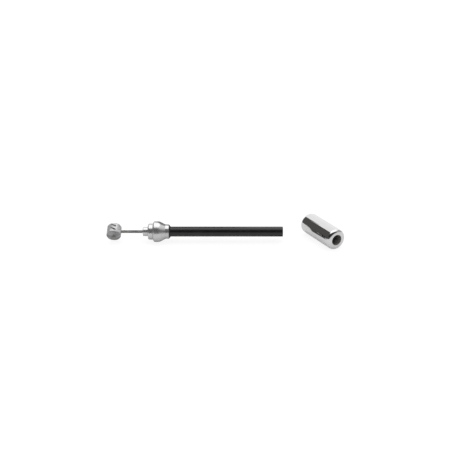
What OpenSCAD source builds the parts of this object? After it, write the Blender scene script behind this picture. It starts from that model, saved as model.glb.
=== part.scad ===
// Lever end of a bicycle brake cable: a barrel nipple cast on a 1 x 19 strand, a lined and
// spiral-wound casing in a turned ferrule, and the loose sleeve that goes on the casing's cut end.
// X runs along the cable towards the cut, Z is up, and the ferrule's shoulder stands at X = 0.

/* [Strand] */
// Diameter of each of the 19 wires
wire_d = 0.28; // [0.22:0.01:0.32]
// Gap between neighbouring wires, and between layers
wire_gap = 0.025; // [0.02:0.005:0.05]
// Length of one turn of the outer layer
outer_lay = 18; // [16:1:30]
// Length of one turn of the inner layer, which is laid the other way
inner_lay = 14; // [12:1:30]
// Bare strand between the nipple and the ferrule's nose
bare_l = 10.9; // [4:0.1:20]

/* [Nipple] */
// Diameter of the barrel
nipple_d = 7.2; // [6:0.1:9]
// Length of the barrel, edge to edge
nipple_l = 6; // [5:0.1:9]
// Radius of the barrel's edges
nipple_round = 0.65; // [0.2:0.05:1]
// Angle of the barrel's front end below level
nipple_turn = 25.5; // [0:0.5:90]
// Length of strand that is cast in past the barrel's axis
grip_l = 1.6; // [0.5:0.1:2]
// Diameter of the dimple in each end of the barrel
dimple_d = 2.6; // [1:0.1:3]
// Depth of the dimples
dimple_deep = 0.3; // [0.1:0.05:0.5]
// Number of grip notches
notch_n = 2; // [1:1:3]
// Length of a grip notch
notch_l = 3.4; // [2:0.1:4]
// Width of a grip notch
notch_w = 0.6; // [0.3:0.05:0.8]
// Depth of a grip notch at its middle
notch_deep = 0.45; // [0.1:0.05:0.5]
// Distance from one notch to the next, along the barrel
notch_pitch = 2.15; // [1.2:0.05:2.6]
// Distance of the notches' middle behind the barrel's middle
notch_back = 0.3; // [0:0.1:0.6]
// Slant of the notches, down towards the ferrule
notch_slant = 25; // [0:1:30]
// Place of the notches round the barrel, up from the side that faces away from the ferrule
notch_up = 86; // [30:1:90]

/* [Casing] */
// Outer diameter of the casing
casing_d = 5; // [4.6:0.1:6]
// Length of casing outside the ferrule
casing_l = 56.1; // [30:0.1:90]
// Wall of the liner
liner_wall = 0.25; // [0.2:0.05:0.3]
// Thickness of the spiral's flat wire
coil_t = 0.5; // [0.3:0.05:0.6]
// Width of the spiral's flat wire
coil_w = 2; // [1.5:0.1:2.6]
// Gap between the spiral's turns
coil_gap = 0.2; // [0.1:0.05:0.4]

/* [Ferrule] */
// Diameter of the nose
nose_d = 4.5; // [3.4:0.1:5]
// Length of the nose
nose_l = 2.55; // [1.5:0.05:5]
// Chamfer on the nose's edge
nose_chamfer = 0.25; // [0.1:0.05:0.4]
// Chamfer that leads the strand into the nose
nose_flare = 0.25; // [0.1:0.05:0.4]
// Diameter of the step that goes into the lever
step_d = 8; // [7.2:0.1:8.6]
// Length of the step
step_l = 2.5; // [1.8:0.05:5]
// Radius of the step's front edge
step_round = 0.7; // [0.2:0.05:0.8]
// Diameter of the flange
flange_d = 10.4; // [9.8:0.1:12]
// Length of the flange
flange_l = 3.15; // [2:0.05:4]
// Height of the bevel on the flange's front, from the flange's edge inwards
flange_bevel = 0.85; // [0.2:0.05:0.9]
// Length of that bevel, along the cable
flange_bevel_l = 0.6; // [0.2:0.05:0.9]
// Radius of the flange's back edge
flange_round = 3.5; // [0.5:0.1:4]
// Length of the cone behind the flange
cone_l = 3.05; // [2.5:0.05:5]
// Radius of the hollow between cone and collar
cove_round = 0.6; // [0.2:0.05:1]
// Diameter of the collar
collar_d = 7.2; // [7:0.1:8]
// Length of the collar
collar_l = 1.75; // [1.5:0.05:4]
// Chamfer on the collar's back edge
collar_chamfer = 0.1; // [0.05:0.01:0.15]
// Wall at the front that the casing butts against
butt_wall = 1.1; // [0.6:0.05:1.6]

/* [Mouth seal] */
// Length of the seal outside the collar
seal_l = 0.7; // [0.4:0.05:1.5]
// Depth of the seal's root in the collar
seal_root_l = 1; // [0.6:0.05:1.3]
// Wall of the seal's root
seal_root_wall = 0.4; // [0.25:0.05:0.5]
// Wall of the seal's thin end
seal_lip_wall = 0.15; // [0.1:0.05:0.3]
// Step from the collar's edge down to the seal
seal_inset = 0.05; // [0:0.01:0.15]

/* [End sleeve] */
// Diameter of the sleeve
sleeve_d = 10.4; // [8:0.1:12]
// Length of the sleeve
sleeve_l = 24.4; // [18:0.1:35]
// Radius of the sleeve's edges
sleeve_round = 1.5; // [0.5:0.1:2]
// Depth of the casing's socket
socket_l = 16; // [10:0.5:17]
// Chamfer on the socket's mouth
socket_chamfer = 0.2; // [0.1:0.05:0.4]
// Chamfer on the wire's hole in the far end
exit_chamfer = 0.25; // [0.1:0.05:0.5]
// Distance from the casing's cut to the middle of the loose sleeve
sleeve_ahead = 19.87; // [17:0.01:40]
// Distance of the sleeve's middle behind the cable's line
sleeve_aside = 0.62; // [-4:0.01:4]
// Turn of the loose sleeve, socket end to the front
sleeve_turn = 60.5; // [0:0.5:90]

/* [Clearances] */
// Strand in its cast hole, on the radius
cast_gap = 0.03; // [0.02:0.01:0.06]
// Strand in the liner, on the radius
slide_gap = 0.15; // [0.1:0.01:0.3]
// Between liner, spiral and jacket, on the radius
layer_gap = 0.1; // [0.06:0.01:0.12]
// Strand in the ferrule's nose, on the radius
nose_gap = 0.25; // [0.15:0.01:0.4]
// Casing in the ferrule, on the radius
turn_gap = 0.06; // [0.03:0.01:0.1]
// Casing's end to the wall that it butts against
butt_gap = 0.05; // [0.02:0.01:0.1]
// Seal on the casing, on the radius
lip_gap = 0.03; // [0.02:0.01:0.08]
// Seal in the collar
root_gap = 0.02; // [0.01:0.01:0.05]
// Casing in the sleeve's socket, on the radius
socket_gap = 0.1; // [0.05:0.01:0.2]
// Strand in the sleeve's far hole, on the radius
exit_gap = 0.35; // [0.2:0.01:0.5]

/* [Hidden] */
$fn = 64;
eps = 0.01;

// A 1 x 19 strand: a core wire, then 6 wires, then 12
inner_n = 6;
outer_n = 12;
wire_sides = 5;
inner_steps = 10;
outer_steps = 12;
inner_r = wire_d + wire_gap;
outer_r = 2 * inner_r;
strand_r = outer_r + wire_d / 2;

// Casing layers, from the strand outwards
casing_r = casing_d / 2;
liner_ri = strand_r + slide_gap;
liner_ro = liner_ri + liner_wall;
coil_ri = liner_ro + layer_gap;
coil_ro = coil_ri + coil_t;
coil_pitch = coil_w + coil_gap;
coil_steps = 14;
coil_least = 0.1;
jacket_ri = coil_ro + layer_gap;

// Places along the cable
nose_x = -step_l - nose_l;
nipple_x = nose_x - bare_l - nipple_d / 2;
strand_x = nipple_x - grip_l;
butt_x = -step_l + butt_wall;
casing_x = butt_x + butt_gap;
cone_x = flange_l + cone_l;
collar_x = cone_x + collar_l;
cut_x = collar_x + seal_l + casing_l;
strand_l = cut_x - strand_x;

// Ferrule bores
seat_r = casing_r + turn_gap;
nose_ri = strand_r + nose_gap;
seal_ri = casing_r + lip_gap;
seal_ro = seal_ri + seal_root_wall;
root_r = seal_ro + root_gap;
root_x = collar_x - seal_root_l - root_gap;

// The sleeve lies on the same table as the flange
floor_z = -flange_d / 2;
socket_r = casing_r + socket_gap;
exit_r = strand_r + exit_gap;

// Points of an arc round [x, y], from angle a to angle b
function arc(x, y, r, a, b, steps = 8) =
    [for (i = [0:steps]) let (t = a + (b - a) * i / steps) [x + r * cos(t), y + r * sin(t)]];

// Faces of a closed tube of n + 1 rings, each with s points
function tube_faces(n, s) = concat(
    [for (i = [0:n - 1], k = [0:s - 1])
        let (a = s * i + k, b = s * i + (k + 1) % s)
        each [[a, a + s, b], [b, a + s, b + s]]],
    [for (k = [1:s - 2]) [0, k, k + 1]],
    [for (k = [1:s - 2]) [s * n, s * n + k + 1, s * n + k]]
);

// Turns a profile of [place along X, radius] points round the X axis
module turned(points) {
    rotate([90, 0, 90])
        rotate_extrude()
            polygon([for (p = points) [p[1], p[0]]]);
}

// A tube or a rod along X
module rod(r, x1, x2) {
    translate([x1, 0, 0])
        rotate([0, 90, 0])
            cylinder(r = r, h = x2 - x1);
}

// A barrel whose edges are rounded, centred on Z
module barrel(r, l, round_r) {
    rotate_extrude()
        polygon(concat(
            [[0, -l / 2]],
            arc(r - round_r, -l / 2 + round_r, round_r, -90, 0),
            arc(r - round_r, l / 2 - round_r, round_r, 0, 90),
            [[0, l / 2]]
        ));
}

// One wire of a layer, wound round the X axis; hand is 1 or -1. Each ring lies square to X,
// so it is stretched along the turn by the wire's slope, and both ends come out cut square.
module wound_wire(r, lay, steps, hand, start) {
    stretch = 1 / cos(atan(2 * PI * r / lay));
    n = ceil(steps * strand_l / lay);
    points = [for (i = [0:n], k = [0:wire_sides - 1])
        let (
            turn = start + hand * 360 * strand_l / lay * i / n,
            out = r + wire_d / 2 * cos(360 * k / wire_sides),
            along = stretch * wire_d / 2 * sin(360 * k / wire_sides)
        )
        [strand_x + strand_l * i / n,
         out * cos(turn) - along * sin(turn),
         out * sin(turn) + along * cos(turn)]];
    polyhedron(points, tube_faces(n, wire_sides));
}

module nipple() {
    color([0.68, 0.68, 0.67])
        translate([nipple_x, 0, 0])
            difference() {
                rotate([90 + nipple_turn, 0, 0])
                    difference() {
                        barrel(nipple_d / 2, nipple_l, nipple_round);
                        for (end = [-1, 1])
                            dimple(end);
                        for (i = [0:notch_n - 1])
                            notch(i);
                    }
                rod(strand_r + cast_gap, -grip_l - eps, nipple_d);
            }
}

// Shallow round hollow that the mould's pin leaves in an end of the barrel
module dimple(end) {
    ball_r = (pow(dimple_d / 2, 2) + pow(dimple_deep, 2)) / (2 * dimple_deep);
    translate([0, 0, end * (nipple_l / 2 + ball_r - dimple_deep)])
        sphere(r = ball_r);
}

// Slanted notch number i on the side of the barrel
module notch(i) {
    along = notch_pitch * ((notch_n - 1) / 2 - i) - notch_back;
    rotate([0, 0, 180 - notch_up])
        translate([nipple_d / 2 - notch_deep, 0, along])
            rotate([-notch_slant, 0, 0])
                translate([0, -notch_l / 2, -notch_w / 2])
                    cube([nipple_d, notch_l, notch_w]);
}

module wire_core() {
    color([0.6, 0.6, 0.58])
        rod(wire_d / 2, strand_x, cut_x);
}

module wire_inner(i) {
    color([0.58, 0.58, 0.56])
        wound_wire(inner_r, inner_lay, inner_steps, -1, 360 * i / inner_n);
}

module wire_outer(i) {
    color([0.62, 0.62, 0.6])
        wound_wire(outer_r, outer_lay, outer_steps, 1, 360 * i / outer_n);
}

module liner() {
    color([0.85, 0.84, 0.8])
        turned([[casing_x, liner_ri], [cut_x, liner_ri], [cut_x, liner_ro], [casing_x, liner_ro]]);
}

// Flat wire wound edge to edge; both ends are ground square where the casing is cut
module casing_coil() {
    turns = (cut_x - casing_x - 2 * coil_least) / coil_pitch;
    first = (coil_w - coil_least) / coil_pitch;
    n = floor((turns + first) * coil_steps);
    rings = [for (i = [0:n])
        let (x = casing_x + coil_pitch * (i / coil_steps - first), a = 360 * i / coil_steps)
        [max(x, casing_x), min(x + coil_w, cut_x), a]];
    points = [for (g = rings, c = [[0, coil_ri], [1, coil_ri], [1, coil_ro], [0, coil_ro]])
        [g[c[0]], c[1] * cos(g[2]), c[1] * sin(g[2])]];
    color([0.55, 0.56, 0.57])
        polyhedron(points, tube_faces(n, 4));
}

module casing_jacket() {
    color([0.1, 0.1, 0.1])
        turned([[casing_x, jacket_ri], [cut_x, jacket_ri], [cut_x, casing_r], [casing_x, casing_r]]);
}

// Turned shell: nose, step, flange, cone and collar outside, and inside the casing's seat,
// the wall that it butts against and the recess for the mouth seal
module ferrule() {
    slope = atan((flange_d - collar_d) / 2 / cone_l);
    color([0.8, 0.8, 0.79])
        turned(concat(
            [[nose_x + nose_flare, nose_ri], [nose_x, nose_ri + nose_flare],
             [nose_x, nose_d / 2 - nose_chamfer], [nose_x + nose_chamfer, nose_d / 2],
             [-step_l, nose_d / 2]],
            arc(-step_l + step_round, step_d / 2 - step_round, step_round, 180, 90),
            [[0, step_d / 2], [0, flange_d / 2 - flange_bevel],
             [flange_bevel_l, flange_d / 2]],
            arc(flange_l - flange_round * tan(slope / 2), flange_d / 2 - flange_round,
                flange_round, 90, 90 - slope),
            arc(cone_x + cove_round * tan(slope / 2), collar_d / 2 + cove_round,
                cove_round, 270 - slope, 270),
            [[collar_x - collar_chamfer, collar_d / 2],
             [collar_x, collar_d / 2 - collar_chamfer],
             [collar_x, root_r], [root_x, root_r], [root_x, seat_r], [butt_x, seat_r],
             [butt_x, nose_ri]]
        ));
}

module mouth_seal() {
    color([0.09, 0.09, 0.09])
        turned([
            [collar_x - seal_root_l, seal_ri], [collar_x - seal_root_l, seal_ro],
            [collar_x + root_gap, seal_ro], [collar_x + root_gap, collar_d / 2 - seal_inset],
            [collar_x + seal_l, seal_ri + seal_lip_wall], [collar_x + seal_l, seal_ri]
        ]);
}

module end_sleeve() {
    color([0.86, 0.86, 0.87])
        translate([cut_x + sleeve_ahead, sleeve_aside, floor_z + sleeve_d / 2])
            rotate([0, 0, -sleeve_turn])
                rotate([0, 90, 0])
                    difference() {
                        barrel(sleeve_d / 2, sleeve_l, sleeve_round);
                        translate([0, 0, sleeve_l / 2 - socket_l])
                            cylinder(r = socket_r, h = socket_l + eps);
                        flare(socket_r, socket_chamfer);
                        translate([0, 0, -sleeve_l / 2 - eps])
                            cylinder(r = exit_r, h = sleeve_l);
                        mirror([0, 0, 1])
                            flare(exit_r, exit_chamfer);
                    }
}

// Chamfer c on the mouth of a hole of radius r, in the sleeve's upper end
module flare(r, c) {
    translate([0, 0, sleeve_l / 2 - c])
        cylinder(r1 = r, r2 = r + c + eps, h = c + eps);
}

nipple();
wire_core();
for (i = [1:inner_n]) wire_inner(i);
for (i = [1:outer_n]) wire_outer(i);
liner();
casing_coil();
casing_jacket();
ferrule();
mouth_seal();
end_sleeve();
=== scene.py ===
import bpy
import bmesh
from math import ceil, cos, degrees, hypot, pi, radians, sin, sqrt, tan
from mathutils import Matrix, Vector, noise


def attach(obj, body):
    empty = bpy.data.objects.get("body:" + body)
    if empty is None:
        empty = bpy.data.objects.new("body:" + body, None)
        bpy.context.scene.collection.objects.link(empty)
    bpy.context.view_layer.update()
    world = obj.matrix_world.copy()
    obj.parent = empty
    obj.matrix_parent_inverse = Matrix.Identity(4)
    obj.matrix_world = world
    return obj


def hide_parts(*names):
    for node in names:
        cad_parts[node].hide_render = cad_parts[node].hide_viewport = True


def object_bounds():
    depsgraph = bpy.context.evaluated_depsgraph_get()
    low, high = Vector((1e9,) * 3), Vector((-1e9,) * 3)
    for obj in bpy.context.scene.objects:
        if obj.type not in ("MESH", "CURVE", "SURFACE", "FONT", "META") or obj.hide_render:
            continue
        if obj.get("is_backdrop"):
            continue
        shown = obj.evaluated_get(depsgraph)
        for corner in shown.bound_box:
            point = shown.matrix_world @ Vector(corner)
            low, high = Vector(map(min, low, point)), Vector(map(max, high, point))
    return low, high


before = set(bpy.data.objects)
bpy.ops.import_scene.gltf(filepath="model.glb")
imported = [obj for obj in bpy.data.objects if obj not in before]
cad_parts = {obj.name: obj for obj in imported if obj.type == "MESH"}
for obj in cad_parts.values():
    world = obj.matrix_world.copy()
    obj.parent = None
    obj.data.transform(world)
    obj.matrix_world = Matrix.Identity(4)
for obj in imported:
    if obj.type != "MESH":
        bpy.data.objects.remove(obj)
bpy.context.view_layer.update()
mm = 0.001
slack = 0.01  # a point this close to a face counts as on it
print("frame loaded:", len(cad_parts), "nodes")

# Camera, light and floor. Lengths in this file are millimetres until they reach Blender.
view = dict(target=(38.4, 0.33, 0.71), distance=420.0, elevation=24.8, lens=65.74, sensor=36.0,
            nearest=10.0, furthest=100000.0)
studio = dict(
    floorSize=9000.0,
    floorColour=0.86,
    floorGlow=1.12,
    floorGlowSeen=0.75,     # share of that glow for camera rays
    floorGlowMirrored=0.2,  # share of it for glossy and transmission rays
    skyFill=0.78,           # the world, for diffuse light only
    skyBehind=1.15,         # the world behind the object, for reflections only
    skyFade=(-0.2, 0.6),    # where that sets in and is full, as the Y of a direction
    lampSpread=62.0,        # degrees across the round soft lamp
    lampLean=14.0,          # degrees back from straight above
    lampStrength=0.71,
    cardFoot=5.0,           # height of the studio cards' zero above the floor
)

# A wedge of painted shade on the floor, dark in reflections only. Each side lies this far behind the
# cable at X = 0 and comes nearer with its slope. The wedge stops at X = end.
shadeWedge = dict(near=dict(slope=0.30, behind=16.2), far=dict(slope=0.36, behind=28.8), end=65.0,
             soft=1.0, grey=0.09)


def placeCamera():
    lens = bpy.data.cameras.new("camera")
    lens.lens = view["lens"]
    lens.sensor_width = view["sensor"]
    lens.clip_start = view["nearest"] * mm
    lens.clip_end = view["furthest"] * mm
    camera = bpy.data.objects.new("camera", lens)
    bpy.context.scene.collection.objects.link(camera)
    tip = radians(view["elevation"])
    back = Vector((0, -cos(tip), sin(tip))) * view["distance"]
    camera.location = (Vector(view["target"]) + back) * mm
    camera.rotation_euler = (pi / 2 - tip, 0, 0)
    bpy.context.scene.camera = camera


# Small helpers for node trees
def addNode(tree, kind, feeds=None, **settings):
    made = tree.nodes.new(kind)
    for key, value in settings.items():
        setattr(made, key, value)
    for key, value in (feeds or {}).items():
        if isinstance(value, bpy.types.NodeSocket):
            tree.links.new(value, made.inputs[key])
        else:
            made.inputs[key].default_value = value
    return made


def maths(tree, operation, *values):
    return addNode(tree, "ShaderNodeMath", dict(enumerate(values)), operation=operation).outputs[0]


def span(tree, value, low, high, toLow=0.0, toHigh=1.0, smooth=False):
    kind = "SMOOTHSTEP" if smooth else "LINEAR"
    feeds = {"Value": value, "From Min": low, "From Max": high, "To Min": toLow, "To Max": toHigh}
    return addNode(tree, "ShaderNodeMapRange", feeds, interpolation_type=kind).outputs["Result"]


def blendColour(tree, share, first, second):
    made = addNode(tree, "ShaderNodeMix", data_type="RGBA")
    for socket, value in (("Factor_Float", share), ("A_Color", first), ("B_Color", second)):
        target = next(s for s in made.inputs if s.identifier == socket)
        if isinstance(value, bpy.types.NodeSocket):
            tree.links.new(value, target)
        else:
            target.default_value = value
    return next(s for s in made.outputs if s.identifier == "Result_Color")


def grey(value, warm=0.0):
    return (value * (1 + warm), value, value * (1 - warm), 1)


def newGroup(name, entries, results):
    tree = bpy.data.node_groups.new(name, "ShaderNodeTree")
    for label, kind, value in entries:
        socket = tree.interface.new_socket(name=label, in_out="INPUT", socket_type="NodeSocket" + kind)
        if value is not None:
            socket.default_value = value
    for label, kind in results:
        tree.interface.new_socket(name=label, in_out="OUTPUT", socket_type="NodeSocket" + kind)
    return tree, tree.nodes.new("NodeGroupInput").outputs, tree.nodes.new("NodeGroupOutput").inputs


def useGroup(tree, group, **feeds):
    made = addNode(tree, "ShaderNodeGroup", node_tree=group)
    for key, value in feeds.items():
        label = "".join(" " + c if c.isupper() else c for c in key).strip().capitalize()
        if isinstance(value, bpy.types.NodeSocket):
            tree.links.new(value, made.inputs[label])
        else:
            made.inputs[label].default_value = value
    return made.outputs


def newMaterial(name, **sockets):
    material = bpy.data.materials.new(name)
    material.use_nodes = True
    tree = material.node_tree
    shader = tree.nodes["Principled BSDF"]
    for label, value in sockets.items():
        shader.inputs[label.replace("_", " ")].default_value = value
    return material, tree, shader.inputs


def ownPlace(tree):
    return tree.nodes.new("ShaderNodeTexCoord").outputs["Object"]


def attribute(tree, name):
    return addNode(tree, "ShaderNodeAttribute", attribute_name=name).outputs["Fac"]


def roughFrom(tree, noisy, rough):
    # most of a noise lies between 0.3 and 0.7
    return span(tree, noisy, 0.3, 0.7, *rough)


def bumpFrom(tree, height, bump):
    feeds = {"Height": height, "Distance": bump[0] * mm, "Strength": bump[1]}
    return addNode(tree, "ShaderNodeBump", feeds).outputs["Normal"]


# Shared surface effects
def makeGrain():
    # fine skin of a casting or moulding, with a mottle seven times as wide; sizes in millimetres
    entries = [("Place", "Vector", None), ("Size", "Float", 0.3), ("Sharpness", "Float", 0.5)]
    tree, given, out = newGroup("surfaceGrain", entries, [("Grain", "Float"), ("Mottle", "Float")])
    scale = maths(tree, "DIVIDE", 1000.0, given["Size"])
    fine = addNode(tree, "ShaderNodeTexNoise", {"Vector": given["Place"], "Scale": scale,
                                                "Detail": 3.0, "Roughness": given["Sharpness"]})
    wide = addNode(tree, "ShaderNodeTexNoise", {"Vector": given["Place"], "Detail": 2.0,
                                                "Scale": maths(tree, "DIVIDE", scale, 7.0)})
    tree.links.new(fine.outputs["Fac"], out["Grain"])
    tree.links.new(span(tree, wide.outputs["Fac"], 0.35, 0.65, smooth=True), out["Mottle"])
    return tree


def makeTurnedLines():
    # tool lines round the X axis of the place that is fed in
    entries = [("Place", "Vector", None), ("Pitch", "Float", 0.1)]
    tree, given, out = newGroup("turnedLines", entries, [("Line", "Float"), ("Radius", "Float")])
    parts = addNode(tree, "ShaderNodeSeparateXYZ", {"Vector": given["Place"]}).outputs
    flat = addNode(tree, "ShaderNodeCombineXYZ", {"Y": parts["Y"], "Z": parts["Z"]}).outputs[0]
    radius = addNode(tree, "ShaderNodeVectorMath", {0: flat}, operation="LENGTH").outputs["Value"]
    rings = 0.83  # the radius counts nearly as much as X, so end faces get rings
    along = maths(tree, "ADD", parts["X"], maths(tree, "MULTIPLY", radius, rings))
    scale = maths(tree, "DIVIDE", 1000.0, given["Pitch"])
    lines = addNode(tree, "ShaderNodeTexNoise", {"W": along, "Scale": scale, "Detail": 2.0,
                                                 "Roughness": 0.7}, noise_dimensions="1D")
    tree.links.new(lines.outputs["Fac"], out["Line"])
    tree.links.new(radius, out["Radius"])
    return tree


def makeHandling():
    # soft smudges and a few hairline marks from handling
    entries = [("Place", "Vector", None), ("Size", "Float", 4.0), ("Stretch", "Vector", (1, 1, 1))]
    tree, given, out = newGroup("handlingMarks", entries, [("Smudge", "Float"), ("Hairline", "Float")])
    turned = addNode(tree, "ShaderNodeVectorMath", {0: given["Place"], 1: given["Stretch"]},
                     operation="MULTIPLY").outputs[0]
    scale = maths(tree, "DIVIDE", 1000.0, given["Size"])
    cloud = addNode(tree, "ShaderNodeTexNoise", {"Vector": turned, "Scale": scale, "Detail": 4.0,
                                                 "Roughness": 0.55, "Distortion": 0.6})
    hair = addNode(tree, "ShaderNodeTexVoronoi", {"Vector": turned, "Randomness": 1.0,
                                                  "Scale": maths(tree, "MULTIPLY", scale, 1.7)},
                   feature="DISTANCE_TO_EDGE")
    tree.links.new(span(tree, cloud.outputs["Fac"], 0.42, 0.7, smooth=True), out["Smudge"])
    tree.links.new(span(tree, hair.outputs["Distance"], 0.0, 0.012, 1.0, 0.0), out["Hairline"])
    return tree


def makeWearAndHollowShade():
    # rubbed edges from wear, and painted shade in the hollow corners, from the attributes of a turned mesh
    entries = [("Place", "Vector", None), ("Edge", "Float", 0.0), ("Hollow", "Float", 0.0),
               ("Size", "Float", 0.6)]
    tree, given, out = newGroup("wearAndHollowShade", entries, [("Rubbed", "Float"), ("Dull", "Float")])
    scale = maths(tree, "DIVIDE", 1000.0, given["Size"])
    patch = addNode(tree, "ShaderNodeTexNoise", {"Vector": given["Place"], "Scale": scale, "Detail": 3.0})
    patchy = span(tree, patch.outputs["Fac"], 0.4, 0.62, 0.35, 1.0, smooth=True)
    tree.links.new(maths(tree, "MULTIPLY", given["Edge"], patchy), out["Rubbed"])
    tree.links.new(maths(tree, "MULTIPLY", given["Hollow"], patchy), out["Dull"])
    return tree


grain = makeGrain()
turnedLines = makeTurnedLines()
handling = makeHandling()
wearAndHollowShade = makeWearAndHollowShade()


def wearAndShadeOf(tree, place, size):
    return useGroup(tree, wearAndHollowShade, Place=place, Size=size, Edge=attribute(tree, "edge"),
                    Hollow=attribute(tree, "hollow"))


# Finishes. In a look, rough is the least and most roughness, and bump a height and its strength.
def castZinc():
    look = dict(bright=grey(0.66), dark=grey(0.50), rubbed=grey(0.70), hollow=grey(0.10, 0.03),
                ends=grey(0.25, 0.01), endShadePale=grey(0.38), rough=(0.44, 0.58), bump=(0.06, 0.7))
    material, tree, skin = newMaterial("castZinc", Metallic=0.55, Specular_Tint=grey(0.6))
    place = ownPlace(tree)
    cast = useGroup(tree, grain, Place=place, Size=0.35, Sharpness=0.6)
    wornAndShaded = wearAndShadeOf(tree, place, 0.9)
    colour = blendColour(tree, cast["Mottle"], look["dark"], look["bright"])
    colour = blendColour(tree, wornAndShaded["Rubbed"], colour, look["rubbed"])
    # painted shade: the end faces get a darker mottle
    endShade = blendColour(tree, cast["Mottle"], look["ends"], look["endShadePale"])
    colour = blendColour(tree, attribute(tree, "end"), colour, endShade)
    # painted shade: the hollow corners, the notches and the dimples are darkened
    colour = blendColour(tree, wornAndShaded["Dull"], colour, look["hollow"])
    tree.links.new(colour, skin["Base Color"])
    tree.links.new(roughFrom(tree, cast["Grain"], look["rough"]), skin["Roughness"])
    tree.links.new(bumpFrom(tree, cast["Grain"], look["bump"]), skin["Normal"])
    return material


def drawnSteel():
    look = dict(bright=grey(0.40, 0.02), dark=grey(0.30, 0.02), grooveShade=grey(0.13, 0.04),
                rough=(0.26, 0.42))
    material, tree, skin = newMaterial("drawnSteel", Metallic=1.0, Specular_Tint=grey(0.7))
    place = ownPlace(tree)
    lines = useGroup(tree, turnedLines, Place=place, Pitch=0.5)
    grooveShade, crest = (radius * mm for radius in strand["grooveShade"])
    depth = span(tree, lines["Radius"], grooveShade, crest, smooth=True)
    cast = useGroup(tree, grain, Place=place, Size=0.8, Sharpness=0.5)
    colour = blendColour(tree, cast["Mottle"], look["dark"], look["bright"])
    # painted shade between the wires, full at the groove's floor
    colour = blendColour(tree, depth, look["grooveShade"], colour)
    tree.links.new(colour, skin["Base Color"])
    tree.links.new(roughFrom(tree, cast["Grain"], look["rough"]), skin["Roughness"])
    return material


def springSteel():
    look = dict(bright=grey(0.52, 0.01), dark=grey(0.36, 0.01), rough=(0.28, 0.46), bump=(0.02, 0.5))
    material, tree, skin = newMaterial("springSteel", Metallic=1.0)
    place = ownPlace(tree)
    cast = useGroup(tree, grain, Place=place, Size=0.25, Sharpness=0.6)
    colour = blendColour(tree, cast["Mottle"], look["dark"], look["bright"])
    tree.links.new(colour, skin["Base Color"])
    tree.links.new(roughFrom(tree, cast["Grain"], look["rough"]), skin["Roughness"])
    tree.links.new(bumpFrom(tree, cast["Grain"], look["bump"]), skin["Normal"])
    return material


def linerPlastic():
    look = dict(bright=(0.84, 0.83, 0.79, 1), dark=(0.74, 0.73, 0.67, 1), rough=(0.4, 0.52))
    material, tree, skin = newMaterial("linerPlastic", IOR=1.38)
    place = ownPlace(tree)
    cast = useGroup(tree, grain, Place=place, Size=0.4, Sharpness=0.4)
    colour = blendColour(tree, cast["Mottle"], look["dark"], look["bright"])
    tree.links.new(colour, skin["Base Color"])
    tree.links.new(roughFrom(tree, cast["Grain"], look["rough"]), skin["Roughness"])
    return material


def jacketPlastic():
    # extruded, so its faint lines run along the casing; duller at the cut and where it turns away
    look = dict(bright=grey(0.010, 0.02), dark=grey(0.007), edge=grey(0.02), rough=(0.28, 0.31),
                cutRougher=0.25, awayFrom=0.55, awayFull=0.95, awayRougher=0.3, bump=(0.012, 0.5))
    material, tree, skin = newMaterial("jacketPlastic", IOR=1.46)
    place = ownPlace(tree)
    cast = useGroup(tree, grain, Place=place, Size=0.5, Sharpness=0.5)
    marks = useGroup(tree, handling, Place=place, Size=7.0, Stretch=(0.12, 1, 1))
    drawn = addNode(tree, "ShaderNodeMapping", {"Vector": place, "Scale": (0.02, 1, 1)}).outputs[0]
    lines = addNode(tree, "ShaderNodeTexNoise", {"Vector": drawn, "Scale": 9000.0, "Detail": 1.0})
    colour = blendColour(tree, cast["Mottle"], look["dark"], look["bright"])
    colour = blendColour(tree, attribute(tree, "edge"), colour, look["edge"])
    tree.links.new(colour, skin["Base Color"])
    rough = maths(tree, "ADD", span(tree, marks["Smudge"], 0, 1, *look["rough"]),
                  maths(tree, "MULTIPLY", attribute(tree, "cut"), look["cutRougher"]))
    away = tree.nodes.new("ShaderNodeLayerWeight").outputs["Facing"]
    away = span(tree, away, look["awayFrom"], look["awayFull"], 0.0, look["awayRougher"])
    tree.links.new(maths(tree, "ADD", rough, away), skin["Roughness"])
    tree.links.new(bumpFrom(tree, lines.outputs["Fac"], look["bump"]), skin["Normal"])
    return material


def turnedMetal():
    look = dict(clean=grey(0.58), toned=grey(0.53, 0.006), rubbed=grey(0.68), hollow=grey(0.46, 0.01),
                rough=(0.20, 0.26), lineRougher=0.06, bump=(0.006, 0.5))
    material, tree, skin = newMaterial("turnedMetal", Metallic=0.82, Specular_Tint=grey(0.6))
    place = ownPlace(tree)
    lines = useGroup(tree, turnedLines, Place=place, Pitch=0.12)
    marks = useGroup(tree, handling, Place=place, Size=3.0)
    wornAndShaded = wearAndShadeOf(tree, place, 0.8)
    colour = blendColour(tree, marks["Smudge"], look["clean"], look["toned"])
    colour = blendColour(tree, wornAndShaded["Rubbed"], colour, look["rubbed"])
    # painted shade: the hollow corners are darkened
    colour = blendColour(tree, wornAndShaded["Dull"], colour, look["hollow"])
    tree.links.new(colour, skin["Base Color"])
    rough = maths(tree, "ADD", span(tree, marks["Smudge"], 0, 1, *look["rough"]),
                  roughFrom(tree, lines["Line"], (0.0, look["lineRougher"])))
    tree.links.new(rough, skin["Roughness"])
    tree.links.new(bumpFrom(tree, lines["Line"], look["bump"]), skin["Normal"])
    return material


def sealRubber():
    look = dict(bright=grey(0.013), dark=grey(0.008), rubbed=grey(0.028), rough=(0.45, 0.6),
                bump=(0.02, 0.4))
    material, tree, skin = newMaterial("sealRubber", IOR=1.5)
    place = ownPlace(tree)
    cast = useGroup(tree, grain, Place=place, Size=0.3, Sharpness=0.6)
    wornAndShaded = wearAndShadeOf(tree, place, 0.7)
    colour = blendColour(tree, cast["Mottle"], look["dark"], look["bright"])
    colour = blendColour(tree, wornAndShaded["Rubbed"], colour, look["rubbed"])
    tree.links.new(colour, skin["Base Color"])
    tree.links.new(roughFrom(tree, cast["Grain"], look["rough"]), skin["Roughness"])
    tree.links.new(bumpFrom(tree, cast["Grain"], look["bump"]), skin["Normal"])
    return material


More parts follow.
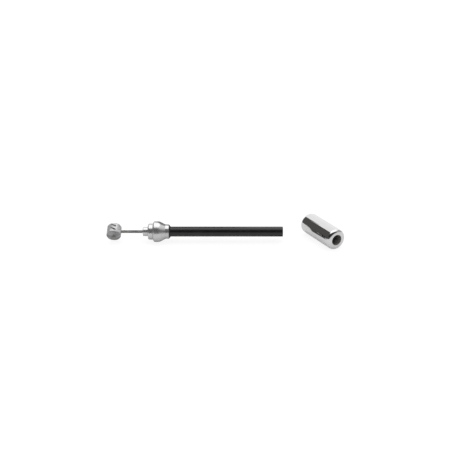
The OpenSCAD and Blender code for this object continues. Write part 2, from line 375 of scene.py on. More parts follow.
def mirrorChrome():
    # the tool lines go round the sleeve's own axis
    look = dict(clean=grey(0.66), toned=grey(0.63, 0.005), rubbed=grey(0.69), rough=(0.035, 0.075),
                hairlineRougher=0.02, bump=(0.0015, 0.35))
    material, tree, skin = newMaterial("mirrorChrome", Metallic=1.0)
    place = ownPlace(tree)
    centre = tuple(v * mm for v in sleeve["centre"])
    axial = addNode(tree, "ShaderNodeVectorMath", {0: place, 1: centre}, operation="SUBTRACT").outputs[0]
    turned = addNode(tree, "ShaderNodeVectorRotate", {"Vector": axial, "Angle": radians(sleeve["turn"])},
                     rotation_type="Z_AXIS").outputs[0]
    lines = useGroup(tree, turnedLines, Place=turned, Pitch=0.08)
    marks = useGroup(tree, handling, Place=turned, Size=6.0, Stretch=(0.6, 1, 1))
    wornAndShaded = wearAndShadeOf(tree, place, 1.2)
    colour = blendColour(tree, marks["Smudge"], look["clean"], look["toned"])
    colour = blendColour(tree, wornAndShaded["Rubbed"], colour, look["rubbed"])
    tree.links.new(colour, skin["Base Color"])
    rough = maths(tree, "ADD", span(tree, marks["Smudge"], 0, 1, *look["rough"]),
                  maths(tree, "MULTIPLY", marks["Hairline"], look["hairlineRougher"]))
    tree.links.new(rough, skin["Roughness"])
    tree.links.new(bumpFrom(tree, lines["Line"], look["bump"]), skin["Normal"])
    return material


def boreSteel():
    # unplated and dulled, inside the sleeve
    look = dict(bright=grey(0.28, 0.03), dark=grey(0.24, 0.03), rough=(0.38, 0.55), bump=(0.03, 0.5))
    material, tree, skin = newMaterial("boreSteel", Metallic=0.45)
    place = ownPlace(tree)
    cast = useGroup(tree, grain, Place=place, Size=0.5, Sharpness=0.6)
    colour = blendColour(tree, cast["Mottle"], look["dark"], look["bright"])
    tree.links.new(colour, skin["Base Color"])
    tree.links.new(roughFrom(tree, cast["Grain"], look["rough"]), skin["Roughness"])
    tree.links.new(bumpFrom(tree, cast["Grain"], look["bump"]), skin["Normal"])
    return material


# Mesh helpers for turned shapes
wearAndShadeFillet = 0.5  # a fillet up to this radius gets its full wear, or its full painted shade where it is hollow


def cornerArc(before, corner, after, radius, stepAngle):
    back, ahead = (before - corner).normalized(), (after - corner).normalized()
    half = back.angle(ahead) / 2
    turn = pi - 2 * half
    centre = corner + (back + ahead).normalized() * radius / sin(half)
    first = corner + back * radius / tan(half) - centre
    last = corner + ahead * radius / tan(half) - centre
    steps = max(3, ceil(degrees(turn) / stepAngle))
    shares = [i / steps for i in range(steps + 1)]
    return [centre + (first * sin((1 - t) * turn) + last * sin(t * turn)) / sin(turn) for t in shares]


def roundedSection(corners, stepAngle, guard=0.06, closed=True):
    # corners are (along, radius, fillet); the result is (along, radius, edge, hollow), the last being
    # painted shade in concave fillets
    around = sum(a[0] * b[1] - b[0] * a[1] for a, b in zip(corners, corners[1:] + corners[:1]))
    runs = []
    for i, (along, radius, fillet) in enumerate(corners):
        here = Vector((along, radius))
        if fillet == 0:
            runs.append([(here, 0.0, 0.0)])
            continue
        before, after = Vector(corners[i - 1][:2]), Vector(corners[(i + 1) % len(corners)][:2])
        bend = (here - before).cross(after - here) * around
        wornAndShaded = min(1.0, wearAndShadeFillet / fillet)
        # a convex fillet gets edge wear, a concave one painted shade
        edge, hollow = (wornAndShaded, 0.0) if bend > 0 else (0.0, wornAndShaded)
        arc = cornerArc(before, here, after, fillet, stepAngle)
        middle = (len(arc) - 1) / 2
        fades = [1 - (k / middle - 1) ** 2 for k in range(len(arc))]
        runs.append([(point, edge * fade, hollow * fade) for point, fade in zip(arc, fades)])
    section = []
    for i, run in enumerate(runs):
        section += run
        if i == len(runs) - 1 and not closed:
            break
        end, start = run[-1][0], runs[(i + 1) % len(runs)][0][0]
        gap = start - end
        if gap.length > 4 * guard:
            near = gap.normalized() * guard
            section += [(end + near, 0.0, 0.0), (start - near, 0.0, 0.0)]
    return [(p.x, p.y, edge, hollow) for p, edge, hollow in section]


def splitSpan(first, last, pieces):
    # the points from first up to last, without last itself
    return [tuple(a + (b - a) * k / pieces for a, b in zip(first, last)) for k in range(pieces)]


def turnedMesh(name, section, place, rounds, closed=True, swell=None):
    # turns a section about its own X axis; a radius of zero is a pole
    points, edges, hollowShades, rings = [], [], [], []
    for along, radius, edge, hollow in section:
        if radius < 1e-6:
            rings.append([len(points)] * rounds)
            points.append(Vector((along, 0, 0)))
            edges.append(edge)
            hollowShades.append(hollow)
            continue
        rings.append(list(range(len(points), len(points) + rounds)))
        for k in range(rounds):
            turn = 2 * pi * k / rounds
            point, low = Vector((along, radius * cos(turn), radius * sin(turn))), hollow
            if swell:
                point, low = swell(point, radius, turn, hollow)
            points.append(point)
            edges.append(edge)
            hollowShades.append(low)
    faces = []
    for first, second in zip(rings, rings[1:] + (rings[:1] if closed else [])):
        for k in range(rounds):
            corners = [first[k], first[(k + 1) % rounds], second[(k + 1) % rounds], second[k]]
            face = list(dict.fromkeys(corners))
            if len(face) > 2:
                faces.append(face)
    mesh = bpy.data.meshes.new(name)
    mesh.from_pydata([place @ p * mm for p in points], [], faces)
    shell = bmesh.new()
    shell.from_mesh(mesh)
    bmesh.ops.recalc_face_normals(shell, faces=shell.faces)
    shell.to_mesh(mesh)
    shell.free()
    mesh.shade_smooth()
    piece = bpy.data.objects.new(name, mesh)
    bpy.context.scene.collection.objects.link(piece)
    storeMask(piece, "edge", edges)
    storeMask(piece, "hollow", hollowShades)
    return piece


def storeMask(piece, label, values):
    piece.data.attributes.new(label, "FLOAT", "POINT").data.foreach_set("value", values)


def finishPiece(piece, body, slot, material, *nodes):
    piece.data.materials.append(material)
    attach(piece, body)
    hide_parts(*nodes)
    print(piece.name, "made:", len(piece.data.polygons), "faces")


def grownPiece(name, tree):
    # an empty piece with a Geometry Nodes tree on it, whose inputs are set next
    piece = bpy.data.objects.new(name, bpy.data.meshes.new(name))
    bpy.context.scene.collection.objects.link(piece)
    modifier = piece.modifiers.new(name, "NODES")
    modifier.node_group = tree
    return piece, modifier


def settlePiece(piece, modifier, sharpFrom):
    # the tree's result becomes the piece's own plain mesh
    evaluated = piece.evaluated_get(bpy.context.evaluated_depsgraph_get())
    mesh = bpy.data.meshes.new_from_object(evaluated)
    piece.modifiers.remove(modifier)
    shell = bmesh.new()
    shell.from_mesh(mesh)
    bmesh.ops.dissolve_degenerate(shell, dist=1e-6, edges=shell.edges)
    bmesh.ops.recalc_face_normals(shell, faces=shell.faces)
    shell.to_mesh(mesh)
    shell.free()
    piece.data = mesh
    mesh.shade_smooth()
    mesh.set_sharp_from_angle(angle=radians(sharpFrom))


# Casing: its plastic jacket, with liner and spiral inside it
casing = dict(start=-1.35, cut=64.75, outer=2.5, inner=1.85, mouth=8.65, ripplePitch=2.2,
              rippleDepth=0.006, cutRound=0.06, rounds=72, alongStep=0.36, routeSteps=16)

# Its flat steel wire, wound on the liner and ground square where the casing is cut
spiral = dict(pitch=2.2, wide=2.0, thick=0.5, inner=1.25, edge=0.06, least=0.1, stepsPerTurn=48,
              sides=8, sharpFrom=30)


def makeSpiralTree():
    tree = bpy.data.node_groups.new("flatSpiral", "GeometryNodeTree")
    sockets = {label: tree.interface.new_socket(name=label, in_out="INPUT", socket_type="NodeSocketFloat")
               for label in ("Start", "End", "First", "Turns", "Pitch", "Wide", "Thick", "Inner", "Edge")}
    sockets["Steps"] = tree.interface.new_socket(name="Steps", in_out="INPUT", socket_type="NodeSocketInt")
    sockets["Finish"] = tree.interface.new_socket(name="Finish", in_out="INPUT",
                                                  socket_type="NodeSocketMaterial")
    tree.interface.new_socket(name="Spiral", in_out="OUTPUT", socket_type="NodeSocketGeometry")
    given, sides = tree.nodes.new("NodeGroupInput").outputs, spiral["sides"]

    def corner(size, wave):
        # eight points of a circle, clipped to the flat wire's size so that its corners are broken
        half = maths(tree, "DIVIDE", size, 2.0)
        reach = maths(tree, "DIVIDE", maths(tree, "SUBTRACT", half, given["Edge"]), sin(pi / sides))
        reach = maths(tree, "MULTIPLY", reach, wave)
        low = maths(tree, "MULTIPLY", half, -1.0)
        return maths(tree, "MINIMUM", maths(tree, "MAXIMUM", reach, low), half)

    sheet = addNode(tree, "GeometryNodeMeshGrid", {"Size X": 1.0, "Size Y": 1.0, "Vertices Y": sides + 1,
                                                   "Vertices X": given["Steps"]}).outputs["Mesh"]
    here = addNode(tree, "GeometryNodeInputPosition").outputs[0]
    share = addNode(tree, "ShaderNodeSeparateXYZ", {"Vector": here}).outputs
    around = maths(tree, "MULTIPLY", maths(tree, "ADD", share["Y"], 0.5 + 0.5 / sides), 2 * pi)
    turns = maths(tree, "MULTIPLY", maths(tree, "ADD", share["X"], 0.5), given["Turns"])
    along = maths(tree, "ADD", given["First"], maths(tree, "MULTIPLY", turns, given["Pitch"]))
    along = maths(tree, "ADD", along, corner(given["Wide"], maths(tree, "COSINE", around)))
    along = maths(tree, "MINIMUM", maths(tree, "MAXIMUM", along, given["Start"]), given["End"])
    radius = maths(tree, "ADD", given["Inner"], maths(tree, "DIVIDE", given["Thick"], 2.0))
    radius = maths(tree, "ADD", radius, corner(given["Thick"], maths(tree, "SINE", around)))
    angle = maths(tree, "MULTIPLY", turns, 2 * pi)
    y = maths(tree, "MULTIPLY", maths(tree, "COSINE", angle), radius)
    z = maths(tree, "MULTIPLY", maths(tree, "SINE", angle), radius)
    wound = addNode(tree, "ShaderNodeCombineXYZ", {"X": along, "Y": y, "Z": z}).outputs[0]
    laid = addNode(tree, "GeometryNodeSetPosition", {"Geometry": sheet, "Position": wound}).outputs[0]
    joined = addNode(tree, "GeometryNodeMergeByDistance", {"Geometry": laid, "Distance": 1e-6}).outputs[0]
    real = addNode(tree, "GeometryNodeRealizeInstances", {"Geometry": joined}).outputs[0]
    painted = addNode(tree, "GeometryNodeSetMaterial", {"Geometry": real, "Material": given["Finish"]})
    addNode(tree, "NodeGroupOutput", {"Spiral": painted.outputs[0]})
    return tree, {label: socket.identifier for label, socket in sockets.items()}


def makeSpiral():
    s, ends = spiral, (casing["start"], casing["cut"])
    turns = (ends[1] - ends[0] + s["wide"]) / s["pitch"]
    first = ends[0] - s["wide"] / 2 + s["least"]
    lengths = dict(Start=ends[0], End=ends[1], First=first, Pitch=s["pitch"], Wide=s["wide"],
                   Thick=s["thick"], Inner=s["inner"], Edge=s["edge"])
    tree, sockets = makeSpiralTree()
    piece, modifier = grownPiece("ground_spiral", tree)
    for label, value in lengths.items():
        modifier[sockets[label]] = value * mm
    modifier[sockets["Turns"]] = turns
    modifier[sockets["Steps"]] = round(turns * s["stepsPerTurn"]) + 1
    modifier[sockets["Finish"]] = springSteel()
    settlePiece(piece, modifier, s["sharpFrom"])
    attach(piece, "casing")
    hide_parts("casing_coil")
    print("ground_spiral made:", len(piece.data.polygons), "faces")
    return piece


def makeJacket():
    start, cut, soft = casing["start"], casing["cut"], casing["cutRound"]
    run = cut - start
    corners = [(start, casing["inner"], soft), (start, casing["outer"], soft),
               (cut, casing["outer"], soft), (cut, casing["inner"], soft)]
    base = roundedSection(corners, stepAngle=22.5, guard=0.1)
    middle, section = (casing["inner"] + casing["outer"]) / 2, []
    for a, b in zip(base, base[1:] + base[:1]):
        skin = a[1] > middle and abs(b[0] - a[0]) > run / 2
        section += splitSpan(a, b, round(run / casing["alongStep"]) if skin else 1)

    def ripple(point, radius, turn, hollow):
        if radius < casing["outer"] - slack:
            return point, hollow
        wave = 0.5 + 0.5 * cos(2 * pi * point.x / casing["ripplePitch"] - turn)
        less = casing["rippleDepth"] * wave / radius
        return Vector((point.x, point.y * (1 - less), point.z * (1 - less))), hollow

    jacket = turnedMesh("casing_skin", section, Matrix.Identity(4), casing["rounds"], swell=ripple)
    atCut = [1.0 if v.co.x > (cut - 2 * slack) * mm else 0.0 for v in jacket.data.vertices]
    storeMask(jacket, "cut", atCut)
    finishPiece(jacket, "casing", "jacket_plastic", jacketPlastic(), "casing_jacket")
    inside = [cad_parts["liner"], makeSpiral()]


# Inner wire: nineteen drawn wires in a core and two layers of opposite lay
strand = dict(start=-21.15, length=85.9, wire=0.14, sides=12, stepsPerTurn=24,
              layers=[(1, 0.0, 40.0), (6, 0.305, -14.0), (12, 0.61, 18.0)],  # wires, radius, lay
              grooveShade=(0.5, 0.72),  # radius where the painted shade between the wires is full, and where it has faded out at the crests
              sharpFrom=50)


def makeLayerTree():
    tree = bpy.data.node_groups.new("wireLayer", "GeometryNodeTree")
    entries = [("Start", "Float"), ("Length", "Float"), ("Wire Radius", "Float"), ("Layer Radius", "Float"),
               ("Lay", "Float"), ("Wires", "Int"), ("Steps", "Int"), ("Sides", "Int")]
    for label, kind in entries:
        tree.interface.new_socket(name=label, in_out="INPUT", socket_type="NodeSocket" + kind)
    tree.interface.new_socket(name="Wires", in_out="OUTPUT", socket_type="NodeSocketGeometry")
    given = tree.nodes.new("NodeGroupInput").outputs
    end = maths(tree, "ADD", given["Start"], given["Length"])
    first = addNode(tree, "ShaderNodeCombineXYZ", {"X": given["Start"]}).outputs[0]
    last = addNode(tree, "ShaderNodeCombineXYZ", {"X": end}).outputs[0]
    line = addNode(tree, "GeometryNodeCurvePrimitiveLine", {"Start": first, "End": last}).outputs["Curve"]
    fine = addNode(tree, "GeometryNodeResampleCurve", {"Curve": line, "Count": given["Steps"]}).outputs[0]
    places = addNode(tree, "GeometryNodeMeshLine", {"Count": given["Wires"]}).outputs["Mesh"]
    number = addNode(tree, "GeometryNodeInputIndex").outputs[0]
    places = addNode(tree, "GeometryNodeStoreNamedAttribute", {"Geometry": places, "Name": "wire",
                                                               "Value": number}).outputs["Geometry"]
    spread = addNode(tree, "GeometryNodeInstanceOnPoints", {"Points": places, "Instance": fine}).outputs[0]
    spread = addNode(tree, "GeometryNodeRealizeInstances", {"Geometry": spread}).outputs[0]
    here = addNode(tree, "GeometryNodeInputPosition").outputs[0]
    x = addNode(tree, "ShaderNodeSeparateXYZ", {"Vector": here}).outputs["X"]
    wire = addNode(tree, "GeometryNodeInputNamedAttribute", {"Name": "wire"}).outputs["Attribute"]
    turns = maths(tree, "ADD", maths(tree, "DIVIDE", x, given["Lay"]),
                  maths(tree, "DIVIDE", wire, given["Wires"]))
    angle = maths(tree, "MULTIPLY", turns, 2 * pi)
    y = maths(tree, "MULTIPLY", maths(tree, "COSINE", angle), given["Layer Radius"])
    z = maths(tree, "MULTIPLY", maths(tree, "SINE", angle), given["Layer Radius"])
    helix = addNode(tree, "ShaderNodeCombineXYZ", {"X": x, "Y": y, "Z": z}).outputs[0]
    laid = addNode(tree, "GeometryNodeSetPosition", {"Geometry": spread, "Position": helix}).outputs[0]
    outline = {"Resolution": given["Sides"], "Radius": given["Wire Radius"]}
    ring = addNode(tree, "GeometryNodeCurvePrimitiveCircle", outline).outputs["Curve"]
    solid = addNode(tree, "GeometryNodeCurveToMesh", {"Curve": laid, "Profile Curve": ring,
                                                      "Fill Caps": True}).outputs["Mesh"]
    addNode(tree, "NodeGroupOutput", {"Wires": solid})
    return tree


def makeStrand():
    layerTree = makeLayerTree()
    tree = bpy.data.node_groups.new("laidStrand", "GeometryNodeTree")
    sockets = {label: tree.interface.new_socket(name=label, in_out="INPUT", socket_type="NodeSocketFloat")
               for label in ("Start", "Length", "Wire Radius")}
    finish = tree.interface.new_socket(name="Finish", in_out="INPUT", socket_type="NodeSocketMaterial")
    tree.interface.new_socket(name="Strand", in_out="OUTPUT", socket_type="NodeSocketGeometry")
    given = tree.nodes.new("NodeGroupInput").outputs
    joined = tree.nodes.new("GeometryNodeJoinGeometry")
    for wires, radius, lay in strand["layers"]:
        steps = 2 if radius == 0 else round(strand["length"] / abs(lay) * strand["stepsPerTurn"])
        layer = addNode(tree, "GeometryNodeGroup", node_tree=layerTree)
        for label in ("Start", "Length", "Wire Radius"):
            tree.links.new(given[label], layer.inputs[label])
        for label, value in (("Layer Radius", radius * mm), ("Lay", lay * mm), ("Wires", wires),
                             ("Steps", steps), ("Sides", strand["sides"])):
            layer.inputs[label].default_value = value
        tree.links.new(layer.outputs[0], joined.inputs[0])
    real = addNode(tree, "GeometryNodeRealizeInstances", {"Geometry": joined.outputs[0]}).outputs[0]
    painted = addNode(tree, "GeometryNodeSetMaterial", {"Geometry": real, "Material": given["Finish"]})
    addNode(tree, "NodeGroupOutput", {"Strand": painted.outputs[0]})

    piece, modifier = grownPiece("laid_strand", tree)
    for label, value in (("Start", "start"), ("Length", "length"), ("Wire Radius", "wire")):
        modifier[sockets[label].identifier] = strand[value] * mm
    modifier[finish.identifier] = drawnSteel()
    settlePiece(piece, modifier, strand["sharpFrom"])
    nodes = [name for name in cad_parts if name.startswith("wire_")]
    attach(piece, "inner_cable")
    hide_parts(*nodes)
    print("laid_strand made:", len(piece.data.polygons), "faces for", len(nodes), "wires")


# Nipple: a cast barrel across the wire
nipple = dict(x=-19.55, across=3.6, length=6.0, round=0.65, turn=25.5, dimpleAcross=2.6, dimpleDeep=0.3,
              notches=2, notchLength=3.4, notchWidth=0.66, notchDeep=0.45, notchPitch=2.15, notchBack=0.3,
              notchSlant=25.0, notchUp=86.0, notchEnd=0.35, notchWall=(-0.14, 0.12), lump=0.06,
              lumpNoise=(1.0, 2.0, 2),  # fractal dimension, lacunarity and octaves
              lumpScale=0.55, lumpPlace=(3.1, 0.4, 7.7), seam=0.03, seamWide=0.02,
              endShadeFade=(2.2, 2.65), notchShadeFrom=0.12, dimpleShade=0.7, alongStep=0.07, rounds=320)


def makeNipple():
    half, across = nipple["length"] / 2, nipple["across"]
    dimple = nipple["dimpleAcross"] / 2
    ball = (dimple ** 2 + nipple["dimpleDeep"] ** 2) / (2 * nipple["dimpleDeep"])
    corners = [(-half, 0, 0), (-half, across, nipple["round"]),
               (half, across, nipple["round"]), (half, 0, 0)]
    base = roundedSection(corners, stepAngle=9.0, guard=0.12, closed=False)
    section = []
    for a, b in zip(base, base[1:]):
        gap = hypot(b[0] - a[0], b[1] - a[1])
        section += splitSpan(a, b, max(1, round(gap / nipple["alongStep"])))
    section.append(base[-1])

    def step(value, low, high):
        t = min(1.0, max(0.0, (value - low) / (high - low)))
        return t * t * (3 - 2 * t)

    def notchSink(along, turn, number):
        # depth of one slanted notch at a place on the barrel's side
        away, tilt = turn - radians(180 - nipple["notchUp"]), -radians(nipple["notchSlant"])
        side, reach = across * sin(away), nipple["notchLength"] / 2
        lift = along + nipple["notchBack"] - nipple["notchPitch"] * ((nipple["notches"] - 1) / 2 - number)
        lengthwise = abs(side * cos(tilt) + lift * sin(tilt))
        crosswise = abs(lift * cos(tilt) - side * sin(tilt))
        if cos(away) < 0 or lengthwise > reach:
            return 0.0
        ends = 1 - step(lengthwise, reach - nipple["notchEnd"], reach)
        wall = 1 - step(crosswise, *(nipple["notchWidth"] / 2 + more for more in nipple["notchWall"]))
        return nipple["notchDeep"] * ends * wall

    def cast(point, radius, turn, hollow):
        along, sink, inward = point.x, 0.0, 0.0
        spot = point * nipple["lumpScale"] + Vector(nipple["lumpPlace"])
        lump = nipple["lump"] * (0.5 + noise.fractal(spot, *nipple["lumpNoise"]))
        if radius > across - 2 * slack:
            sink = max(notchSink(along, turn, i) for i in range(nipple["notches"]))
        # painted shade in the notches, full from a set depth
        low = max(hollow, min(1.0, sink / nipple["notchShadeFrom"]))
        seam = nipple["seam"] * max(0.0, 1 - abs(cos(turn)) / nipple["seamWide"])
        scale = (radius - sink - lump + seam) / radius
        if abs(along) > half - slack and radius < dimple:
            inward = sqrt(ball ** 2 - radius ** 2) - (ball - nipple["dimpleDeep"])
            # painted shade in the dimples, darker where they are deeper
            low = max(low, inward / nipple["dimpleDeep"] * nipple["dimpleShade"])
        inward += lump * step(abs(along), 0.5 * half, half)
        x = along - (inward if along > 0 else -inward)
        return Vector((x, point.y * scale, point.z * scale)), low

    # the barrel is turned about X; that axis goes to Z, and then as the casting lies on its wire
    stand = Matrix.Translation((nipple["x"], 0, 0)) @ Matrix.Rotation(radians(90 + nipple["turn"]), 4, "X")
    fromX = Matrix(((0, 1, 0, 0), (0, 0, 1, 0), (1, 0, 0, 0), (0, 0, 0, 1)))
    piece = turnedMesh("cast_nipple", section, stand @ fromX, nipple["rounds"], closed=False, swell=cast)
    back = (stand @ fromX).inverted()
    # where the end faces are, which the finish darkens as painted shade
    ends = [step(abs((back @ (v.co / mm)).x), *nipple["endShadeFade"]) for v in piece.data.vertices]
    storeMask(piece, "end", ends)
    finishPiece(piece, "inner_cable", "nipple_zinc", castZinc(), "nipple")


# Ferrule: one turned shell, nose to collar
ferrule = dict(noseX=-5.05, noseBore=1.0, noseAcross=2.25, noseFlare=0.25, stepLong=2.5, stepAcross=4.0,
               stepRound=0.7, flangeAcross=5.2, flangeLong=3.15, bevelHigh=0.85, bevelLong=0.6,
               flangeRound=3.5, coneX=6.2, coveRound=0.6, collarX=7.95, collarAcross=3.6, rootX=6.93,
               rootBore=2.95, seatBore=2.56, buttX=-1.4, flareRound=0.1, noseRound=0.3, bevelRound=0.15,
               rimRound=0.4, collarRound=0.12, softEdge=0.08, rounds=192)


def makeFerrule():
    f, soft = ferrule, ferrule["softEdge"]
    corners = [
        (f["noseX"] + f["noseFlare"], f["noseBore"], f["flareRound"]),
        (f["noseX"], f["noseBore"] + f["noseFlare"], soft),
        (f["noseX"], f["noseAcross"], f["noseRound"]), (-f["stepLong"], f["noseAcross"], soft),
        (-f["stepLong"], f["stepAcross"], f["stepRound"]), (0, f["stepAcross"], soft),
        (0, f["flangeAcross"] - f["bevelHigh"], f["bevelRound"]),
        (f["bevelLong"], f["flangeAcross"], f["rimRound"]),
        (f["flangeLong"], f["flangeAcross"], f["flangeRound"]),
        (f["coneX"], f["collarAcross"], f["coveRound"]),
        (f["collarX"], f["collarAcross"], f["collarRound"]), (f["collarX"], f["rootBore"], soft),
        (f["rootX"], f["rootBore"], 0), (f["rootX"], f["seatBore"], 0),
        (f["buttX"], f["seatBore"], 0), (f["buttX"], f["noseBore"], 0)]
    section = roundedSection(corners, stepAngle=6.0)
    piece = turnedMesh("turned_ferrule", section, Matrix.Identity(4), f["rounds"])
    finishPiece(piece, "ferrule", "ferrule_metal", turnedMetal(), "ferrule")


# Mouth seal: rubber ring between collar and jacket
seal = dict(rootStart=6.95, rootEnd=7.97, lipEnd=8.65, inner=2.53, rootOuter=2.93, outer=3.55, lip=2.68,
            softEdge=0.03, outerRound=0.08, lipRound=0.05, rounds=128)


def makeSeal():
    s, soft = seal, seal["softEdge"]
    corners = [(s["rootStart"], s["inner"], soft), (s["rootStart"], s["rootOuter"], soft),
               (s["rootEnd"], s["rootOuter"], 0), (s["rootEnd"], s["outer"], s["outerRound"]),
               (s["lipEnd"], s["lip"], s["lipRound"]), (s["lipEnd"], s["inner"], soft)]
    section = roundedSection(corners, stepAngle=12.0, guard=0.04)
    piece = turnedMesh("rubber_seal", section, Matrix.Identity(4), s["rounds"])
    finishPiece(piece, "ferrule", "seal_rubber", sealRubber(), "mouth_seal")


# End sleeve: chromed, lying loose beyond the cut
sleeve = dict(centre=(84.62, 0.62, 0.0), turn=60.5, across=5.2, length=24.4, round=1.5, socket=2.6,
              socketLong=16.0, socketChamfer=0.2, exit=1.1, exitChamfer=0.25, exitRound=0.1,
              shoulderRound=0.05, socketRound=0.3, mouthRound=0.08, rounds=224,
              unplated=0.9)  # share of the two chamfers that is bare steel, as the bores are


def makeSleeve():
    s, half = sleeve, sleeve["length"] / 2
    shoulder = half - s["socketLong"]
    corners = [
        (half, s["across"], s["round"]), (-half, s["across"], s["round"]),
        (-half, s["exit"] + s["exitChamfer"], s["exitRound"]),
        (-half + s["exitChamfer"], s["exit"], s["exitRound"]),
        (shoulder, s["exit"], s["shoulderRound"]), (shoulder, s["socket"], s["socketRound"]),
        (half - s["socketChamfer"], s["socket"], s["mouthRound"]),
        (half, s["socket"] + s["socketChamfer"], s["mouthRound"])]
    section = roundedSection(corners, stepAngle=6.0, guard=0.08)
    stand = Matrix.Translation(s["centre"]) @ Matrix.Rotation(-radians(s["turn"]), 4, "Z")
    piece = turnedMesh("plated_sleeve", section, stand, s["rounds"])
    finishPiece(piece, "end_sleeve", "sleeve_chrome", mirrorChrome(), "end_sleeve")
    piece.data.materials.append(boreSteel())
    back = stand.inverted()
    wide = s["socket"] + s["unplated"] * s["socketChamfer"]
    narrow = s["exit"] + s["unplated"] * s["exitChamfer"]
    for face in piece.data.polygons:
        spot = back @ (face.center / mm)
        if hypot(spot.y, spot.z) < (wide if spot.x > shoulder - slack else narrow):
            face.material_index = 1


def dressLiner():
    node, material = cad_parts["liner"], linerPlastic()
    if not node.material_slots:
        node.data.materials.append(None)
    for place in node.material_slots:
        place.material = material


# Floor and light
def seenRay(tree, direct, mirrored):
    # one value for camera rays and one for glossy and transmission rays; zero for the rest
    path = tree.nodes.new("ShaderNodeLightPath").outputs
    both = maths(tree, "MAXIMUM", path["Is Glossy Ray"], path["Is Transmission Ray"])
    return maths(tree, "MAXIMUM", maths(tree, "MULTIPLY", path["Is Camera Ray"], direct),
                 maths(tree, "MULTIPLY", both, mirrored))


def makeFloor():
    half, low = studio["floorSize"] / 2 * mm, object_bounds()[0].z
    mesh = bpy.data.meshes.new("floor")
    corners = [(x * half, y * half, low) for x, y in ((-1, -1), (1, -1), (1, 1), (-1, 1))]
    mesh.from_pydata(corners, [], [(0, 1, 2, 3)])
    floor = bpy.data.objects.new("floor", mesh)
    bpy.context.scene.collection.objects.link(floor)
    floor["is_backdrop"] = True
    material = bpy.data.materials.new("paleFloor")
    material.use_nodes = True
    tree = material.node_tree
    tree.nodes.clear()
    matt = addNode(tree, "ShaderNodeBsdfDiffuse", {"Color": grey(studio["floorColour"])}).outputs[0]
    light = {"Color": grey(1.0), "Strength": studio["floorGlow"]}
    glow = addNode(tree, "ShaderNodeEmission", light).outputs[0]
    share = seenRay(tree, studio["floorGlowSeen"], studio["floorGlowMirrored"])
    mixed = addNode(tree, "ShaderNodeMixShader", {0: share, 1: matt, 2: glow}).outputs[0]
    place = addNode(tree, "ShaderNodeSeparateXYZ", {"Vector": ownPlace(tree)}).outputs
    soft = shadeWedge["soft"] * mm

    def beyond(value, edge):
        return span(tree, value, edge * mm - soft / 2, edge * mm + soft / 2, smooth=True)

    def beyondSide(side):
        line = maths(tree, "ADD", place["Y"], maths(tree, "MULTIPLY", place["X"], side["slope"]))
        return beyond(line, side["behind"])

    # the wedge's painted shade, which only glossy and transmission rays see
    within = maths(tree, "SUBTRACT", beyondSide(shadeWedge["near"]), beyondSide(shadeWedge["far"]))
    within = maths(tree, "SUBTRACT", within, beyond(place["X"], shadeWedge["end"]))
    within = maths(tree, "MULTIPLY", maths(tree, "MAXIMUM", within, 0.0), seenRay(tree, 0.0, 1.0))
    dark = addNode(tree, "ShaderNodeEmission", {"Color": grey(shadeWedge["grey"])}).outputs[0]
    shaded = addNode(tree, "ShaderNodeMixShader", {0: within, 1: mixed, 2: dark}).outputs[0]
    addNode(tree, "ShaderNodeOutputMaterial", {"Surface": shaded})
    mesh.materials.append(material)


def makeWorld():
    world = bpy.data.worlds.new("studio")
    world.use_nodes = True
    bpy.context.scene.world = world
    tree = world.node_tree
    tree.nodes.clear()
    way = addNode(tree, "ShaderNodeTexCoord").outputs["Generated"]
    north = addNode(tree, "ShaderNodeSeparateXYZ", {"Vector": way}).outputs["Y"]
    behind = span(tree, north, *studio["skyFade"], 1.0, studio["skyBehind"], smooth=True)
    strength = maths(tree, "MAXIMUM", seenRay(tree, 1.0, behind), studio["skyFill"])
    sky = addNode(tree, "ShaderNodeBackground", {"Color": grey(1.0), "Strength": strength}).outputs[0]
    addNode(tree, "ShaderNodeOutputWorld", {"Surface": sky})


def makeLamp():
    lamp = bpy.data.lights.new("softLamp", "SUN")
    lamp.energy = studio["lampStrength"]
    lamp.angle = radians(studio["lampSpread"])
    holder = bpy.data.objects.new("softLamp", lamp)
    holder.rotation_euler = (-radians(studio["lampLean"]), 0, 0)
    holder.visible_camera = False
    bpy.context.scene.collection.objects.link(holder)


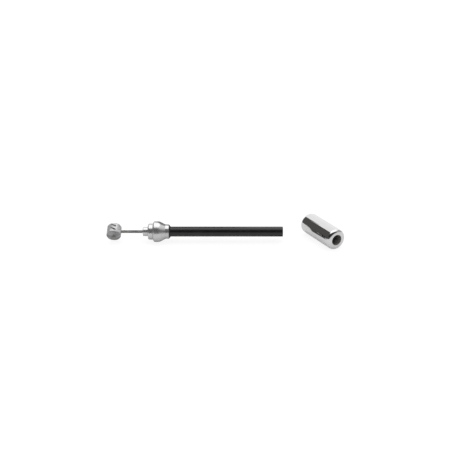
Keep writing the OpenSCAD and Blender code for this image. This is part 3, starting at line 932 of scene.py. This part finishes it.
# Studio cards, which only reflections show, and only on the side that faces their centre.
# Edges are (bearing from the camera's side, lowest, highest), all in degrees.
cards = dict(
    front=dict(centre=(40.0, 0.0), away=500.0, colour=grey(0.095), edges=[
        (-60, 0, 60), (-30, 0, 64), (0, 0, 66), (20, 0, 64),
        (38, 0, 59), (50, 0, 50), (60, 0, 37), (65, 0, 22)]),
    left=dict(centre=(40.0, 0.0), away=490.0, colour=grey(0.095, 0.04), edges=[
        (-137, 0, 45), (-125, 0, 48), (-110, 0, 49), (-90, 0, 50), (-60, 0, 56)]),
    deep=dict(centre=(40.0, 0.0), away=480.0, colour=grey(0.03), edges=[
        (-65, 24, 52), (-40, 18, 56), (-12, 16, 57), (8, 18, 57), (18, 20, 54), (34, 25, 47)]),
    right=dict(centre=(40.0, 0.0), away=470.0, colour=grey(0.5), edges=[
        (65, 4, 40), (95, 4, 42), (130, 4, 36)]),
    flag=dict(centre=(5.0, 0.0), away=60.0, colour=grey(0.13), edges=[
        (138, 24, 44), (150, 12, 48), (165, 6, 46), (187, 8, 44)]),
)


def makeCards():
    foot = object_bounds()[0].z / mm + studio["cardFoot"]
    for name, card in cards.items():
        points = []
        for bearing, *heights in card["edges"]:
            x = card["centre"][0] + card["away"] * sin(radians(bearing))
            y = card["centre"][1] - card["away"] * cos(radians(bearing))
            points += [Vector((x, y, foot + card["away"] * tan(radians(h)))) * mm for h in heights]
        faces = [(i, i + 1, i + 3, i + 2) for i in range(0, len(points) - 2, 2)]
        mesh = bpy.data.meshes.new(name + "Card")
        mesh.from_pydata(points, [], faces)
        piece = bpy.data.objects.new(name + "Card", mesh)
        bpy.context.scene.collection.objects.link(piece)
        for ray in ("camera", "diffuse", "shadow", "transmission", "volume_scatter"):
            setattr(piece, "visible_" + ray, False)
        material = bpy.data.materials.new(name + "Card")
        material.use_nodes = True
        tree = material.node_tree
        tree.nodes.clear()
        glow = addNode(tree, "ShaderNodeEmission", {"Color": card["colour"], "Strength": 1.0}).outputs[0]
        clear = tree.nodes.new("ShaderNodeBsdfTransparent").outputs[0]
        outside = tree.nodes.new("ShaderNodeNewGeometry").outputs["Backfacing"]
        facing = addNode(tree, "ShaderNodeMixShader", {0: outside, 1: glow, 2: clear}).outputs[0]
        addNode(tree, "ShaderNodeOutputMaterial", {"Surface": facing})
        mesh.materials.append(material)
        piece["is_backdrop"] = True


placeCamera()
makeJacket()
makeStrand()
makeNipple()
makeFerrule()
makeSeal()
makeSleeve()
dressLiner()
makeFloor()
makeWorld()
makeLamp()
makeCards()
bpy.context.scene.view_settings.view_transform = "Standard"
print("scene dressed")
